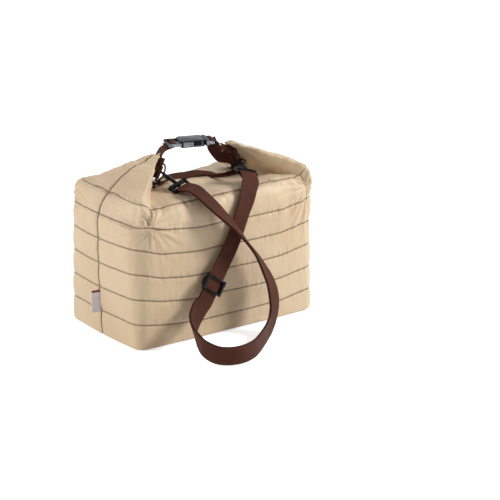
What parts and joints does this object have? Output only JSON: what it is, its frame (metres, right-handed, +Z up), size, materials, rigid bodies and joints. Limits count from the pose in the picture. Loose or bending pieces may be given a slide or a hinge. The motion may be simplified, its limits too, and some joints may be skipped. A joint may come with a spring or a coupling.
{
  "type": "insulated bag",
  "caption": "Quilted insulated bag with a rolled mouth, buckled carrying loop and an adjustable clip-on shoulder strap.",
  "frame": {"origin": "centre of the base's underside", "axes": "+X along the bag's long side, -Y the front, +Z up"},
  "size_m": [0.3927, 0.3456, 0.3095],
  "materials": {
    "quilted_cloth": "smooth padded cloth with a slight sheen",
    "base_cloth": "plain woven cloth",
    "foam": "matt soft foam",
    "foil": "bright metallised film",
    "webbing": "woven webbing",
    "black_plastic": "moulded, satin",
    "black_metal": "smooth black coating",
    "label": "blank woven label"
  },
  "bodies": {
    "bag": {"front_shell": "quilted_cloth", "back_shell": "quilted_cloth", "base_panel": "base_cloth", "insulation_tub": "foam", "foil_liner": "foil", "rolled_mouth": "quilted_cloth", "mouth_webbing": "webbing", "label_tag": "label", "ring_tab_left": "webbing", "ring_tab_right": "webbing", "buckle_socket": "black_plastic", "socket_webbing": "webbing", "insert_webbing": "webbing"},
    "ring_left": {"d_ring_left": "black_metal"},
    "ring_right": {"d_ring_right": "black_metal"},
    "strap": {"shoulder_strap": "webbing", "strap_return": "webbing", "swivel_eye_left": "black_metal", "swivel_eye_right": "black_metal"},
    "hook_left_body": {"hook_left": "black_metal"},
    "hook_right_body": {"hook_right": "black_metal"},
    "gate_left_body": {"gate_left": "black_metal"},
    "gate_right_body": {"gate_right": "black_metal"},
    "slider_body": {"slider": "black_plastic"},
    "insert": {"buckle_insert": "black_plastic"},
    "arm_front": {"buckle_arm_front": "black_plastic"},
    "arm_back": {"buckle_arm_back": "black_plastic"}
  },
  "joints": [
    {"name": "strap_swing", "type": "hinge", "parent": "bag", "child": "strap", "pos_m": [0.06908, -0.03708, 0.26198], "axis": [-0.9944, 0.1049, -0.0082], "range_deg": [0, 60]},
    {"name": "ring_swing_left", "type": "hinge", "parent": "bag", "child": "ring_left", "pos_m": [-0.0714, -0.004, 0.2608], "axis": [0.4856, 0, 0.8742], "range_deg": [-8, 8]},
    {"name": "ring_swing_right", "type": "hinge", "parent": "bag", "child": "ring_right", "pos_m": [0.0765, -0.021, 0.2673], "axis": [0.4856, 0, -0.8742], "range_deg": [-13, 3]},
    {"name": "hook_swivel_left", "type": "hinge", "parent": "strap", "child": "hook_left_body", "pos_m": [-0.07359, -0.02183, 0.26201], "axis": [0.2615, -0.8689, -0.4203], "range_deg": [-12, 12]},
    {"name": "hook_swivel_right", "type": "hinge", "parent": "strap", "child": "hook_right_body", "pos_m": [0.06908, -0.03688, 0.26318], "axis": [-0.3108, -0.9221, -0.2305], "range_deg": [-12, 12]},
    {"name": "gate_open_left", "type": "hinge", "parent": "hook_left_body", "child": "gate_left_body", "pos_m": [-0.06471, -0.02695, 0.25433], "axis": [0.5651, -0.2152, 0.7965], "range_deg": [0, 16], "stiffness_Nm_per_rad": 0.02, "springref_deg": -8.59},
    {"name": "gate_open_right", "type": "hinge", "parent": "hook_right_body", "child": "gate_right_body", "pos_m": [0.05952, -0.04303, 0.25729], "axis": [0.502, 0.0467, -0.8636], "range_deg": [0, 16], "stiffness_Nm_per_rad": 0.02, "springref_deg": -8.59},
    {"name": "slider_travel", "type": "slide", "parent": "strap", "child": "slider_body", "axis": [-0.584, -0.1007, -0.8055], "range_m": [-0.045, 0.012], "deforming": ["strap_return"]},
    {"name": "buckle_release", "type": "slide", "parent": "bag", "child": "insert", "axis": [0.929, -0.3696, 0.02], "range_m": [0, 0.034], "deforming": ["insert_webbing", "buckle_arm_front", "buckle_arm_back"]},
    {"name": "buckle_arm_press_back", "type": "hinge", "parent": "insert", "child": "arm_back", "pos_m": [0.0202, -0.004, 0.30416], "axis": [-0.0186, 0.0074, 0.9998], "range_deg": [0, 14], "stiffness_Nm_per_rad": 0.05},
    {"name": "buckle_arm_press_front", "type": "hinge", "parent": "insert", "child": "arm_front", "pos_m": [0.01014, -0.02927, 0.30416], "axis": [-0.0186, 0.0074, 0.9998], "range_deg": [-14, 0], "stiffness_Nm_per_rad": 0.05}
  ],
  "couplings": [
    {"joint": "buckle_arm_press_front", "follows": "buckle_arm_press_back", "ratio": -1}
  ]
}
